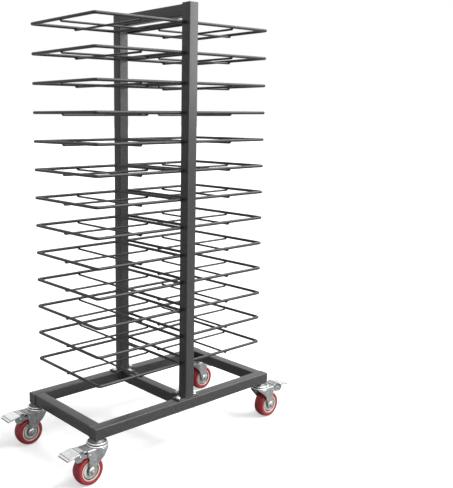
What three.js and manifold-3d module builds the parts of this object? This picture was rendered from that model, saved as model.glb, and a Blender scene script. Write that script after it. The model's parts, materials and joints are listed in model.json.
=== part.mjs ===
// Double-sided art drying rack on four braked swivel casters.
// Millimetres, +Z up. X runs along the base and Y across it. The floor is Z = 0 under the middle of the rack.
import * as THREE from "three";
import { mergeVertices } from "three/addons/utils/BufferGeometryUtils.js";
import Module from "manifold-3d";

const wasm = await Module();
wasm.setup();

// Driving dimensions: frame
const baseLength = 850;
const baseWidth = 430;
const tubeSize = 40;
const tubeWall = 2;
const postInset = 2;
const postCapThickness = 3;
const beamHeight = 40;
const beamDrop = 4.5;
const footThickness = 5;
const footLength = 104;
const footReach = 40;
const footHoleRadius = 10;
const drainRadius = 4;

// Driving dimensions: foot bolts
const boltRadius = 4;
const boltHeadAcross = 13;
const boltHeadHeight = 5.5;
const boltNutHeight = 8;
const boltTail = 4;
const boltEdge = 14;

// Driving dimensions: shelves
const tierCount = 13;
const tierPitch = 100;
const firstTierHeight = 134;
const aboveTopTier = 64;
const shelfDepth = 368.5;
const ringShy = 1.8;
const ringWire = 8;
const ringCorner = 12;
const crossWire = 5;
const crossDrop = 8;

// Driving dimensions: casters
const casterInset = 20;
const trail = 39.6;
const wheelDiameter = 105;
const wheelWidth = 43;
const wheelTopGap = 20.5;
const treadDrop = 3.6;
const treadEdgeRound = 3;
const coreRadius = 37.5;
const coreWidth = 38;
const rimWall = 4;
const webThickness = 12;
const hubRadius = 15;
const axleRadius = 5;
const axleHeadRadius = 9.5;
const axleHeadHeight = 7;
const axleTail = 1;
const raceRadius = 36;
const raceRimDrop = 9.5;
const raceRimThickness = 2.5;
const raceChamfer = 2;
const raceTopRadius = 22;
const raceBossRadius = 14;
const stemRadius = 6;
const stemLength = 32;
const kingpinHeadRadius = 10;
const kingpinHeadHeight = 4;
const coverRadius = 37;
const raceGap = 4.2;
const coverThickness = 5.5;
const forkWebThickness = 4;
const legThickness = 3.2;
const legGap = 3;
const legBack = 28;
const legBackDrop = 7;
const earFront = 56;
const earHeight = 24;
const legNeck = 49;
const legNeckDrop = 32;
const legEndRadius = 11;
const legCurve = 5;
const legCurveDrop = 44;
const pivotEdge = 8;
const pivotDrop = 14;
const pivotRadius = 3;
const pivotHeadRadius = 4.5;
const pivotHeadHeight = 1.8;
const pedalGap = 4;
const pedalNeckLength = 38;
const pedalPadLength = 41;
const pedalRise = 1.5;
const pedalTipDrop = 9;
const pedalLip = 6;
const pedalThickness = 2.5;
const pedalWidth = 64;
const pedalCorner = 8;
const skirtThickness = 1.8;
const skirtPast = 12;
const skirtRise = 9;
const skirtSlant = 2;
const skirtLobe = 4;
const armRadius = 8;
const shoeOut = 22;
const shoeLength = 28;
const shoeGap = 7;
const shoeThickness = 3;

// Clearances
const seatGap = 0.3;
const runGap = 0.4;
const skirtGap = 0.6;
const overshoot = 1;

// Facet counts
const wireSides = 6;
const cornerSteps = 2;
const roundSides = 16;
const boltSides = 10;
const hexSides = 6;
const curveSteps = 5;

// Heights and places that follow from the sizes above
const wheelRadius = wheelDiameter / 2;
const webBottom = wheelDiameter + wheelTopGap;
const webTop = webBottom + forkWebThickness;
const coverTop = webTop + coverThickness;
const raceBottom = coverTop + raceGap;
const raceRim = raceBottom + raceRimThickness;
const raceTop = raceRim + raceRimDrop;
const baseBottom = raceTop + seatGap;
const baseTop = baseBottom + tubeSize;
const rackTop = baseTop + firstTierHeight + (tierCount - 1) * tierPitch + aboveTopTier;
const railCentre = baseWidth / 2 - tubeSize / 2;
const postCentre = railCentre - postInset;
const postInner = postCentre - tubeSize / 2;
const footBottom = baseTop + seatGap;
const footTop = footBottom + footThickness;
const boltAlong = footLength / 2 - boltEdge;
const boltInward = postInner - footReach + boltEdge;
const ringInner = tubeSize / 2 + seatGap + ringWire / 2;
const shelfWidth = 2 * (postCentre - ringShy);
const legInner = wheelWidth / 2 + legGap;
const legOuter = legInner + legThickness;
const pivotOut = earFront - pivotEdge;
const pivotHeight = webBottom - pivotDrop;
const pedalStart = earFront + pedalGap;
const pedalBend = pedalStart + pedalNeckLength;
const pedalTip = pedalBend + pedalPadLength;
const pedalTop = webTop + pedalRise;
const skirtOuter = legInner - skirtGap;
const skirtInner = skirtOuter - skirtThickness;
const skirtEnd = pedalBend + skirtPast;
const shoeStart = pivotOut + shoeOut;
const shoeBottom = wheelRadius + Math.sqrt(wheelRadius ** 2 - (shoeStart - trail) ** 2) + shoeGap;

// Materials
const charcoal = new THREE.MeshStandardMaterial({ color: 0x4a4a4b, roughness: 0.55, metalness: 0.3 });
const zinc = new THREE.MeshStandardMaterial({ color: 0xa9acae, roughness: 0.35, metalness: 0.9 });
const brightZinc = new THREE.MeshStandardMaterial({ color: 0xd0d2d3, roughness: 0.25, metalness: 0.95 });
const redTread = new THREE.MeshStandardMaterial({ color: 0x8e2a30, roughness: 0.4, metalness: 0.0 });
const paleCore = new THREE.MeshStandardMaterial({ color: 0xb7bcb4, roughness: 0.5, metalness: 0.1 });

const rack = new THREE.Group();

// A closed three.js geometry as a solid, turned right side out if its faces point inwards
function solid(geometry) {
  const bare = geometry.clone();
  bare.deleteAttribute("normal");
  bare.deleteAttribute("uv");
  const merged = mergeVertices(bare, 1e-4);
  const corners = new Float32Array(merged.attributes.position.array);
  const triangles = new Uint32Array(merged.index.array);
  if (signedVolume(corners, triangles) < 0) {
    for (let i = 0; i < triangles.length; i += 3) {
      [triangles[i], triangles[i + 1]] = [triangles[i + 1], triangles[i]];
    }
  }
  return new wasm.Manifold(new wasm.Mesh({ numProp: 3, vertProperties: corners, triVerts: triangles }));
}

function signedVolume(corners, triangles) {
  const [a, b, c] = [new THREE.Vector3(), new THREE.Vector3(), new THREE.Vector3()];
  let sum = 0;
  for (let i = 0; i < triangles.length; i += 3) {
    a.fromArray(corners, triangles[i] * 3);
    b.fromArray(corners, triangles[i + 1] * 3);
    c.fromArray(corners, triangles[i + 2] * 3);
    sum += a.dot(b.cross(c));
  }
  return sum / 6;
}

function place(group, name, shape, material) {
  const made = shape.getMesh();
  const geometry = new THREE.BufferGeometry();
  geometry.setAttribute("position", new THREE.BufferAttribute(new Float32Array(made.vertProperties), 3));
  geometry.setIndex(new THREE.BufferAttribute(new Uint32Array(made.triVerts), 1));
  geometry.computeVertexNormals();
  const mesh = new THREE.Mesh(geometry, material);
  mesh.name = name;
  group.add(mesh);
}

// A box given by its low and high corners
function box(low, high) {
  const size = high.map((value, i) => value - low[i]);
  const middle = high.map((value, i) => (value + low[i]) / 2);
  return solid(new THREE.BoxGeometry(...size).translate(...middle));
}

// A round or hexagonal bar between two places on one axis
function bar(axis, radius, from, to, centre, sides = roundSides) {
  const geometry = new THREE.CylinderGeometry(radius, radius, to - from, sides);
  geometry.translate(0, (from + to) / 2, 0);
  if (axis === "x") geometry.rotateZ(-Math.PI / 2);
  if (axis === "z") geometry.rotateX(Math.PI / 2);
  return solid(geometry.translate(...centre));
}

// A flat outline in X and Z, thickened from one Y to another
function plateAcross(shape, fromY, toY) {
  const options = { depth: toY - fromY, bevelEnabled: false, curveSegments: curveSteps };
  const geometry = new THREE.ExtrudeGeometry(shape, options);
  return solid(geometry.rotateX(Math.PI / 2).translate(0, toY, 0));
}

// A flat outline in X and Y, thickened from one Z to another
function plateUp(shape, fromZ, toZ) {
  const options = { depth: toZ - fromZ, bevelEnabled: false, curveSegments: curveSteps };
  return solid(new THREE.ExtrudeGeometry(shape, options).translate(0, 0, fromZ));
}

// A profile of [radius, height] corners turned about Z or Y
function turned(profile, axis) {
  const geometry = new THREE.LatheGeometry(profile.map(([r, h]) => new THREE.Vector2(r, h)), roundSides);
  if (axis === "z") geometry.rotateX(Math.PI / 2);
  return solid(geometry);
}

function join(shapes) {
  return shapes.reduce((sum, shape) => sum.add(shape));
}

function cut(shape, holes) {
  return holes.reduce((left, hole) => left.subtract(hole), shape);
}

// The two sides of the rack
const sides = [-1, 1];

// Places of the three bolts in a foot: one each way along the rail and one on the middle cross tube
function footBoltPlaces(side) {
  return [
    ["left", -boltAlong, side * postCentre],
    ["right", boltAlong, side * postCentre],
    ["inner", 0, side * boltInward],
  ];
}

// Base frame: two rails and three cross tubes, hollow, with holes for the caster stems and foot bolts
function baseFrame() {
  const railEnd = baseLength / 2;
  const crossEnd = baseWidth / 2 - tubeSize;
  const half = tubeSize / 2;
  const bore = half - tubeWall;
  const middle = baseBottom + half;
  const crossPlaces = [-(railEnd - half), 0, railEnd - half];
  const outside = [];
  const inside = [];
  for (const side of sides) {
    const y = side * railCentre;
    outside.push(box([-railEnd, y - half, baseBottom], [railEnd, y + half, baseTop]));
    const boreEnd = railEnd - tubeWall;
    inside.push(box([-boreEnd, y - bore, middle - bore], [boreEnd, y + bore, middle + bore]));
  }
  for (const x of crossPlaces) {
    outside.push(box([x - half, -crossEnd, baseBottom], [x + half, crossEnd, baseTop]));
    inside.push(box([x - bore, -crossEnd, middle - bore], [x + bore, crossEnd, middle + bore]));
  }
  const holes = [];
  for (const x of crossPlaces) {
    holes.push(bar("z", drainRadius, baseBottom - overshoot, middle, [x, 0, 0], boltSides));
  }
  for (const [x, y] of casterPlaces()) {
    holes.push(bar("z", stemRadius + runGap, baseBottom - overshoot, middle, [x, y, 0], boltSides));
  }
  for (const side of sides) {
    for (const [, x, y] of footBoltPlaces(side)) {
      const [low, high] = [baseBottom - overshoot, baseTop + overshoot];
      holes.push(bar("z", boltRadius + runGap, low, high, [x, y, 0], boltSides));
    }
  }
  place(rack, "base_frame", cut(join(outside), [...inside, ...holes]), charcoal);
}

// Posts: square tube, top plate and a T-shaped foot flange, welded into one piece
function post(name, side) {
  const half = tubeSize / 2;
  const bore = half - tubeWall;
  const y = side * postCentre;
  const reach = side * (postInner - footReach);
  const tube = box([-half, y - half, footBottom], [half, y + half, rackTop]);
  const alongRail = box([-footLength / 2, y - half, footBottom], [footLength / 2, y + half, footTop]);
  const inward = box([-half, Math.min(reach, y), footBottom], [half, Math.max(reach, y), footTop]);
  const hollow = box([-bore, y - bore, footTop], [bore, y + bore, rackTop - postCapThickness]);
  const holes = footBoltPlaces(side).map(([, bx, by]) =>
    bar("z", boltRadius + runGap, footBottom - overshoot, footTop + overshoot, [bx, by, 0], boltSides));
  holes.push(bar("z", footHoleRadius, footBottom - overshoot, footTop + overshoot, [0, y, 0], boltSides));
  place(rack, name, cut(join([tube, alongRail, inward]), [hollow, ...holes]), charcoal);
}

// Top beam between the posts, a hollow tube that is open at its welded ends
function topBeam() {
  const half = tubeSize / 2;
  const end = postInner - seatGap;
  const top = rackTop - beamDrop;
  const bottom = top - beamHeight;
  const outside = box([-half, -end, bottom], [half, end, top]);
  const bore = half - tubeWall;
  const inside = box([-bore, -end - overshoot, bottom + tubeWall], [bore, end + overshoot, top - tubeWall]);
  place(rack, "top_beam", outside.subtract(inside), charcoal);
}

// Foot bolts: hexagon head on the flange, shank through the base and nut under it
function footBolts() {
  const headRadius = boltHeadAcross / Math.sqrt(3);
  const headBottom = footTop + seatGap;
  const nutTop = baseBottom - seatGap;
  const nutBottom = nutTop - boltNutHeight;
  for (const [post, side] of [["front", -1], ["back", 1]]) {
    for (const [where, x, y] of footBoltPlaces(side)) {
      const centre = [x, y, 0];
      const head = bar("z", headRadius, headBottom, headBottom + boltHeadHeight, centre, hexSides);
      const shank = bar("z", boltRadius, nutBottom - boltTail, headBottom + overshoot, centre, boltSides);
      const nut = bar("z", headRadius, nutBottom, nutTop, centre, hexSides);
      place(rack, `foot_bolt_${post}_${where}`, join([head, shank, nut]), brightZinc);
    }
  }
}

// A closed loop of round wire along flat corners, with its joints cut at half the turn
function wireLoop(corners, radius, z) {
  const positions = [];
  const indices = [];
  const count = corners.length;
  corners.forEach((corner, i) => {
    const before = corners[(i + count - 1) % count];
    const after = corners[(i + 1) % count];
    const arriving = corner.clone().sub(before).normalize();
    const leaving = after.clone().sub(corner).normalize();
    const along = arriving.clone().add(leaving).normalize();
    const outward = new THREE.Vector2(along.y, -along.x);
    const stretch = 1 / along.dot(leaving);
    for (let k = 0; k < wireSides; k += 1) {
      const angle = (2 * Math.PI * (k + 0.5)) / wireSides;
      const out = radius * Math.cos(angle) * stretch;
      positions.push(corner.x + outward.x * out, corner.y + outward.y * out, z + radius * Math.sin(angle));
      const here = i * wireSides;
      const next = ((i + 1) % count) * wireSides;
      const turn = (k + 1) % wireSides;
      indices.push(here + k, next + k, next + turn, here + k, next + turn, here + turn);
    }
  });
  const geometry = new THREE.BufferGeometry();
  geometry.setAttribute("position", new THREE.Float32BufferAttribute(positions, 3));
  geometry.setIndex(indices);
  return solid(geometry);
}

// Centre line of a shelf ring: a rectangle with rounded corners
function ringCorners() {
  const spots = [
    [ringInner + shelfDepth - ringCorner, shelfWidth / 2 - ringCorner, 0],
    [ringInner + ringCorner, shelfWidth / 2 - ringCorner, 1],
    [ringInner + ringCorner, -shelfWidth / 2 + ringCorner, 2],
    [ringInner + shelfDepth - ringCorner, -shelfWidth / 2 + ringCorner, 3],
  ];
  const corners = [];
  for (const [x, y, quarter] of spots) {
    for (let step = 0; step <= cornerSteps; step += 1) {
      const angle = (Math.PI / 2) * (quarter + step / cornerSteps);
      corners.push(new THREE.Vector2(x + ringCorner * Math.cos(angle), y + ringCorner * Math.sin(angle)));
    }
  }
  return corners;
}

// Shelves: a wire ring welded to the posts, with two cross wires under it whose ends turn up into the ring
function shelves() {
  const ring = wireLoop(ringCorners(), ringWire / 2, 0);
  const radius = crossWire / 2;
  const halfWidth = shelfWidth / 2;
  const middle = ringInner + shelfDepth / 2;
  const outer = ringInner + shelfDepth;
  const across = bar("y", radius, -halfWidth, halfWidth, [middle, 0, -crossDrop], wireSides);
  const outward = bar("x", radius, ringInner, outer, [0, 0, -crossDrop], wireSides);
  const ends = [[middle, -halfWidth], [middle, halfWidth], [ringInner, 0], [outer, 0]];
  const risers = ends.map(([x, y]) => bar("z", radius, -crossDrop - radius, 0, [x, y, 0], wireSides));
  const right = join([ring, across, outward, ...risers]);
  const left = right.mirror([1, 0, 0]);
  for (let tier = 0; tier < tierCount; tier += 1) {
    const height = baseTop + firstTierHeight + tier * tierPitch;
    const number = String(tier + 1).padStart(2, "0");
    place(rack, `shelf_left_${number}`, left.translate([0, 0, height]), charcoal);
    place(rack, `shelf_right_${number}`, right.translate([0, 0, height]), charcoal);
  }
}

// Casters stand under the ends of the rails, with their trail pointing away from the middle
function casterPlaces() {
  const x = baseLength / 2 - casterInset;
  return [
    [-x, -railCentre, "front_left"],
    [x, -railCentre, "front_right"],
    [-x, railCentre, "back_left"],
    [x, railCentre, "back_right"],
  ];
}

// Caster race: stem in the rail, dish under it, and kingpin with a head under the fork web
function race() {
  const pinTop = webBottom - seatGap;
  const bossBottom = coverTop + seatGap;
  return turned([
    [0, raceTop + stemLength],
    [stemRadius, raceTop + stemLength],
    [stemRadius, raceTop],
    [raceTopRadius, raceTop],
    [raceRadius - raceChamfer, raceRim + raceChamfer / 2],
    [raceRadius, raceRim],
    [raceRadius, raceBottom],
    [raceBossRadius, raceBottom],
    [raceBossRadius, bossBottom],
    [stemRadius, bossBottom],
    [stemRadius, pinTop],
    [kingpinHeadRadius, pinTop],
    [kingpinHeadRadius - raceChamfer / 2, pinTop - kingpinHeadHeight],
    [0, pinTop - kingpinHeadHeight],
  ], "z");
}

// Outline of a fork leg: ear for the pedal pivot in front, tapering to a round end at the axle
function legShape() {
  const shape = new THREE.Shape();
  const earBottom = webTop - earHeight;
  shape.moveTo(-legBack, webTop);
  shape.lineTo(earFront, webTop);
  shape.lineTo(earFront, earBottom);
  shape.quadraticCurveTo(legNeck, earBottom, legNeck, webTop - legNeckDrop);
  shape.lineTo(trail + legEndRadius, wheelRadius);
  shape.absarc(trail, wheelRadius, legEndRadius, 0, Math.PI, true);
  const low = [trail - legEndRadius - legCurve, wheelRadius + legEndRadius];
  const high = [legCurve, webTop - legCurveDrop];
  shape.bezierCurveTo(...low, ...high, -legBack, webTop - legBackDrop);
  shape.closePath();
  return shape;
}

function fork() {
  const legs = [plateAcross(legShape(), -legOuter, -legInner), plateAcross(legShape(), legInner, legOuter)];
  const web = box([-legBack, -legOuter, webBottom], [earFront, legOuter, webTop]);
  const cover = bar("z", coverRadius, webTop - overshoot, coverTop, [0, 0, 0]);
  const through = legOuter + overshoot;
  return cut(join([...legs, web, cover]), [
    bar("z", stemRadius + runGap, webBottom - overshoot, coverTop + overshoot, [0, 0, 0], boltSides),
    bar("y", axleRadius + runGap, -through, through, [trail, 0, wheelRadius], boltSides),
    bar("y", pivotRadius + runGap, -through, through, [pivotOut, 0, pivotHeight], boltSides),
  ]);
}

// Wheel core: rim, web and hub, with a bore for the axle
function wheelCore() {
  const bore = axleRadius + runGap;
  const hubEnd = legInner - seatGap;
  const rimOuter = coreRadius - seatGap;
  const rimInner = rimOuter - rimWall;
  const rimEnd = coreWidth / 2;
  const webEnd = webThickness / 2;
  return turned([
    [bore, -hubEnd],
    [hubRadius, -hubEnd],
    [hubRadius, -webEnd],
    [rimInner, -webEnd],
    [rimInner, -rimEnd],
    [rimOuter, -rimEnd],
    [rimOuter, rimEnd],
    [rimInner, rimEnd],
    [rimInner, webEnd],
    [hubRadius, webEnd],
    [hubRadius, hubEnd],
    [bore, hubEnd],
    [bore, -hubEnd],
  ], "y").translate([trail, 0, wheelRadius]);
}

// Wheel tread: a ring of red polyurethane with a crowned running face
function wheelTread() {
  const face = wheelWidth / 2;
  const shoulder = wheelRadius - treadDrop;
  const crown = face / 2;
  return turned([
    [coreRadius, -face],
    [shoulder - treadEdgeRound, -face],
    [shoulder, -face + treadEdgeRound],
    [wheelRadius, -crown / 2],
    [wheelRadius, crown / 2],
    [shoulder, face - treadEdgeRound],
    [shoulder - treadEdgeRound, face],
    [coreRadius, face],
    [coreRadius, -face],
  ], "y").translate([trail, 0, wheelRadius]);
}

// Axle bolt with its head and nut outside the fork legs
function axle() {
  const inner = legOuter + seatGap;
  const outer = inner + axleHeadHeight;
  const centre = [trail, 0, wheelRadius];
  return join([
    bar("y", axleRadius, -outer, outer, centre, boltSides),
    bar("y", axleHeadRadius, -outer + axleTail, -inner, centre, hexSides),
    bar("y", axleHeadRadius, inner, outer - axleTail, centre, hexSides),
  ]);
}

// Side view of the pedal plate: flat over the skirts, falling to the tip, with a turned-down lip
function pedalSide() {
  const tipTop = pedalTop - pedalTipDrop;
  const shape = new THREE.Shape();
  shape.moveTo(pedalStart, pedalTop);
  shape.lineTo(pedalBend, pedalTop);
  shape.lineTo(pedalTip - pedalThickness, tipTop);
  shape.lineTo(pedalTip, tipTop - pedalThickness);
  shape.lineTo(pedalTip, tipTop - pedalLip);
  shape.lineTo(pedalTip - pedalThickness, tipTop - pedalLip);
  shape.lineTo(pedalTip - pedalThickness, tipTop - pedalThickness);
  shape.lineTo(pedalBend, pedalTop - pedalThickness);
  shape.lineTo(pedalStart, pedalTop - pedalThickness);
  shape.closePath();
  return shape;
}

// Plan of the pedal plate: a strip with round corners at its tip
function pedalPlan() {
  const half = pedalWidth / 2;
  const bend = pedalTip - pedalCorner;
  const shape = new THREE.Shape();
  shape.moveTo(pedalStart, -half);
  shape.lineTo(bend, -half);
  shape.absarc(bend, -half + pedalCorner, pedalCorner, -Math.PI / 2, 0, false);
  shape.lineTo(pedalTip, half - pedalCorner);
  shape.absarc(bend, half - pedalCorner, pedalCorner, 0, Math.PI / 2, false);
  shape.lineTo(pedalStart, half);
  shape.closePath();
  return shape;
}

// Side view of a pedal skirt: an arm back to the pivot and a rounded lobe in front of the wheel
function skirtShape() {
  const top = pedalTop - pedalThickness / 2;
  const bottom = shoeBottom + skirtLobe;
  const shoeEnd = shoeStart + shoeLength;
  const shape = new THREE.Shape();
  shape.moveTo(pivotOut, pivotHeight + armRadius);
  shape.lineTo(pedalStart - skirtSlant, pivotHeight + armRadius);
  shape.lineTo(pedalStart + skirtSlant, top);
  shape.lineTo(skirtEnd - skirtSlant, top);
  shape.lineTo(skirtEnd, bottom + skirtRise);
  shape.quadraticCurveTo(skirtEnd - skirtSlant, bottom, shoeEnd, bottom - skirtLobe);
  shape.quadraticCurveTo(shoeEnd - 2 * skirtLobe, bottom - 2 * skirtLobe, shoeStart + skirtLobe, bottom);
  shape.lineTo(pivotOut, pivotHeight - armRadius);
  shape.absarc(pivotOut, pivotHeight, armRadius, -Math.PI / 2, -1.5 * Math.PI, true);
  shape.closePath();
  return shape;
}

function pedal() {
  const strip = plateAcross(pedalSide(), -pedalWidth, pedalWidth);
  const plate = strip.intersect(plateUp(pedalPlan(), 0, baseBottom));
  const skirts = [
    plateAcross(skirtShape(), -skirtOuter, -skirtInner),
    plateAcross(skirtShape(), skirtInner, skirtOuter),
  ];
  const shoe = box(
    [shoeStart, -skirtInner - overshoot, shoeBottom],
    [shoeStart + shoeLength, skirtInner + overshoot, shoeBottom + shoeThickness],
  );
  const headInner = legOuter + seatGap;
  const headOuter = headInner + pivotHeadHeight;
  const centre = [pivotOut, 0, pivotHeight];
  const pin = bar("y", pivotRadius, -headOuter, headOuter, centre, boltSides);
  const heads = [
    bar("y", pivotHeadRadius, -headOuter, -headInner, centre, boltSides),
    bar("y", pivotHeadRadius, headInner, headOuter, centre, boltSides),
  ];
  return join([plate, ...skirts, shoe, pin, ...heads]);
}

function casters() {
  const pieces = [
    ["race", race(), zinc],
    ["fork", fork(), zinc],
    ["wheel_core", wheelCore(), paleCore],
    ["wheel_tread", wheelTread(), redTread],
    ["axle_bolt", axle(), brightZinc],
    ["brake_pedal", pedal(), brightZinc],
  ];
  for (const [x, y, corner] of casterPlaces()) {
    const caster = new THREE.Group();
    caster.position.set(x, y, 0);
    caster.rotation.z = x < 0 ? Math.PI : 0;
    for (const [piece, shape, material] of pieces) {
      place(caster, `caster_${corner}_${piece}`, shape, material);
    }
    rack.add(caster);
  }
}

baseFrame();
post("front_post", -1);
post("back_post", 1);
topBeam();
footBolts();
shelves();
casters();

export default rack;
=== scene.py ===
"""Looks of a double-sided art drying rack on four braked swivel casters. Metres, +Z up, base along X."""
import json
import math

import bmesh
import bpy
from mathutils import Matrix, Vector


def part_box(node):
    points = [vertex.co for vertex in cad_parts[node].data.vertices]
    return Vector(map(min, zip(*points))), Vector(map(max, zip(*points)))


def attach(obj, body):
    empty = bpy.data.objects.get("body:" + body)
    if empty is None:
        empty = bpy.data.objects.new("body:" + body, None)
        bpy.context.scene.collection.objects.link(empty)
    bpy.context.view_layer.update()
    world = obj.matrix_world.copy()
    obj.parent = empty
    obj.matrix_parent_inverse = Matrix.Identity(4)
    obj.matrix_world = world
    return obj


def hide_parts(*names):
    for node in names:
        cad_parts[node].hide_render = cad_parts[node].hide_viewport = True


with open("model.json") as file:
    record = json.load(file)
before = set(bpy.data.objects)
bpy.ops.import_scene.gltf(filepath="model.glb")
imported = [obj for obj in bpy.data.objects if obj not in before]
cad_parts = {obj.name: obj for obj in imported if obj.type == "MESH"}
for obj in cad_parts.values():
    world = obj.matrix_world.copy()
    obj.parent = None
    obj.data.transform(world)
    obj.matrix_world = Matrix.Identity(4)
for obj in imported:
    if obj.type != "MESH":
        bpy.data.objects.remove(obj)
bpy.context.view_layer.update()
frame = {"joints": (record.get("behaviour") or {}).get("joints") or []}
scene = bpy.context.scene

MM = 0.001

# Places and sizes that come from the frame
base_low, base_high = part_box("base_frame")
beam_low, beam_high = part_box("top_beam")
post_low, post_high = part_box("front_post")
shelf_low, shelf_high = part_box("shelf_right_01")
joint_place = {joint["name"]: Vector(joint["pos_m"]) for joint in frame["joints"]}
TUBE = beam_high.x - beam_low.x
HALF = TUBE / 2
RAIL_Y = base_high.y - HALF
POST_Y = -post_low.y - HALF
TIERS = 13
CORNERS = ("front_left", "front_right", "back_left", "back_right")

# Sizes of the tubes, the feet and the welds
TUBE_ROUND = 3.6 * MM
TUBE_WALL = 2 * MM
END_SOFT = 0.7 * MM
END_RECESS = 0.9 * MM
FOOT_THICKNESS = 5 * MM
FOOT_SOFT = 0.8 * MM
FOOT_ROUND = 5 * MM
SEAT_GAP = 0.3 * MM
WELD = 2.6 * MM
WELD_PROUD = 0.5 * MM
WELD_RIPPLE = 2.4 * MM
WELD_WAVE = 0.2
WELD_END = 0.45
FOOT_WELD_SHARE = 0.985
CROSS_SET_BACK = 2.4 * MM

# Sizes of the foot bolts
BOLT_HEAD = 5.5 * MM
BOLT_NUT = 6.6 * MM
BOLT_ACROSS = 13 * MM
BOLT_RADIUS = 4 * MM
WASHER = 1.4 * MM
WASHER_RADIUS = 9 * MM
WASHER_SOFT = 0.3 * MM

# Sizes of the shelf wires
RING_RADIUS = 5.4 * MM
RING_DEPTH = 0.75 * RING_RADIUS
RING_CORNER = 13 * MM
CROSS_RADIUS = 3.9 * MM
CROSS_DROP = 8 * MM
CROSS_BEND = 4.5 * MM
NUGGET = (3.4 * MM, 3.4 * MM, 2.4 * MM)
CROSSING_NUGGET = (4 * MM, 4 * MM, 3 * MM)
SHELF_WELD = 2.8 * MM
SHELF_WELD_HALF = 7 * MM
SHELF_WELD_ASIDE = 2.6 * MM
SHELF_WELD_IN = HALF * 0.62


# Mesh helpers

def loft(bm, rings, closed=False):
    """Skins rings that have equally many points. An open loft gets a face at each end."""
    loops = [[bm.verts.new(point) for point in ring] for ring in rings]
    count = len(loops[0])
    pairs = list(zip(loops, loops[1:]))
    if closed:
        pairs.append((loops[-1], loops[0]))
    for a, b in pairs:
        for i in range(count):
            j = (i + 1) % count
            bm.faces.new((a[i], a[j], b[j], b[i]))
    if not closed:
        bm.faces.new(loops[0][::-1])
        bm.faces.new(loops[-1])


def lathe(bm, outline, axis="z", centre=(0, 0, 0), sides=56, closed=False):
    """Turns a profile of (radius, height) about an axis through centre."""
    rings = []
    for radius, height in outline:
        ring = []
        for k in range(sides):
            turn = 2 * math.pi * k / sides
            across, along = radius * math.cos(turn), radius * math.sin(turn)
            point = (across, along, height) if axis == "z" else (across, height, along)
            ring.append(Vector(centre) + Vector(point))
        rings.append(ring)
    loft(bm, rings, closed)


def sweep(bm, path, radius, sides=14, closed=False):
    """A round bar along a path. The radius is one number or one for each point."""
    count = len(path)
    radii = radius if isinstance(radius, list) else [radius] * count
    side = None
    rings = []
    for i, point in enumerate(path):
        before = path[i - 1] if closed or i > 0 else point
        after = path[(i + 1) % count] if closed or i + 1 < count else point
        along = ((point - before).normalized() + (after - point).normalized()).normalized()
        if side is None:
            side = along.orthogonal().normalized()
        side = (side - along * side.dot(along)).normalized()
        up = along.cross(side)
        turns = [2 * math.pi * k / sides for k in range(sides)]
        rings.append([point + radii[i] * (side * math.cos(t) + up * math.sin(t)) for t in turns])
    loft(bm, rings, closed)


def rounded(corners, radius, steps=5):
    """Flat outline whose corners are rounded off."""
    outline = []
    count = len(corners)
    for i, corner in enumerate(corners):
        here = Vector(corner)
        start = here + (Vector(corners[i - 1]) - here).normalized() * radius
        end = here + (Vector(corners[(i + 1) % count]) - here).normalized() * radius
        for step in range(steps + 1):
            t = step / steps
            outline.append(start.lerp(here, t).lerp(here.lerp(end, t), t))
    return outline


def curve(points, steps=8):
    """Smooth open curve through flat points."""
    line = [Vector(p) for p in points]
    padded = [2 * line[0] - line[1], *line, 2 * line[-1] - line[-2]]
    smooth = []
    for a, b, c, d in zip(padded, padded[1:], padded[2:], padded[3:]):
        for step in range(steps):
            t = step / steps
            smooth.append(0.5 * (2 * b + (c - a) * t + (2 * a - 5 * b + 4 * c - d) * t ** 2
                                 + (3 * b - a - 3 * c + d) * t ** 3))
    return smooth + [line[-1]]


def circle(centre, radius, steps=16):
    """Flat round outline."""
    turns = [2 * math.pi * k / steps for k in range(steps)]
    return [(centre.x + radius * math.cos(t), centre.y + radius * math.sin(t)) for t in turns]


def profile(points, height=0.0, side=1):
    """Profile of (radius, height) from millimetres above a height, or from its mirror image for side -1."""
    return [(radius * MM, side * (height + step * MM)) for radius, step in points]


def both_faces(half):
    """Closed profile of a wheel part that is alike on both faces, from its half on one side."""
    return half + [(radius, -height) for radius, height in reversed(half)]


def offset(outline, distance):
    """Outline moved to its left by a distance."""
    moved = []
    count = len(outline)
    for i, point in enumerate(outline):
        arriving = (point - outline[i - 1]).normalized()
        leaving = (outline[(i + 1) % count] - point).normalized()
        normal = Vector((-arriving.y - leaving.y, arriving.x + leaving.x)).normalized()
        share = max(0.4, normal.dot(Vector((-leaving.y, leaving.x))))
        moved.append(point + normal * distance / share)
    return moved


def area(outline):
    """Area inside an outline, negative when it runs clockwise."""
    return sum(a.cross(b) for a, b in zip(outline, outline[1:] + outline[:1])) / 2


def plate(bm, loops, low, high, soft, place):
    """Flat sheet between two heights with soft edges. The first loop is its outline, the rest are holes."""
    ends = ([], [])
    for index, loop in enumerate(loops):
        outline = [Vector(p) for p in loop]
        if (area(outline) > 0) != (index == 0):
            outline.reverse()
        rows = []
        for height, inset in ((low, soft), (low + soft, 0), (high - soft, 0), (high, soft)):
            rows.append([bm.verts.new(place(p.x, p.y, height)) for p in offset(outline, inset)])
        count = len(outline)
        for a, b in zip(rows, rows[1:]):
            for i in range(count):
                j = (i + 1) % count
                bm.faces.new((a[i], a[j], b[j], b[i]))
        for end, row in zip(ends, (rows[0], rows[-1])):
            end.append(row)
    for rows in ends:
        if len(rows) == 1:
            bm.faces.new(rows[0])
        else:
            edges = [bm.edges.get((a, b)) for row in rows for a, b in zip(row, row[1:] + row[:1])]
            bmesh.ops.triangle_fill(bm, edges=edges, use_beauty=True)


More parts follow.
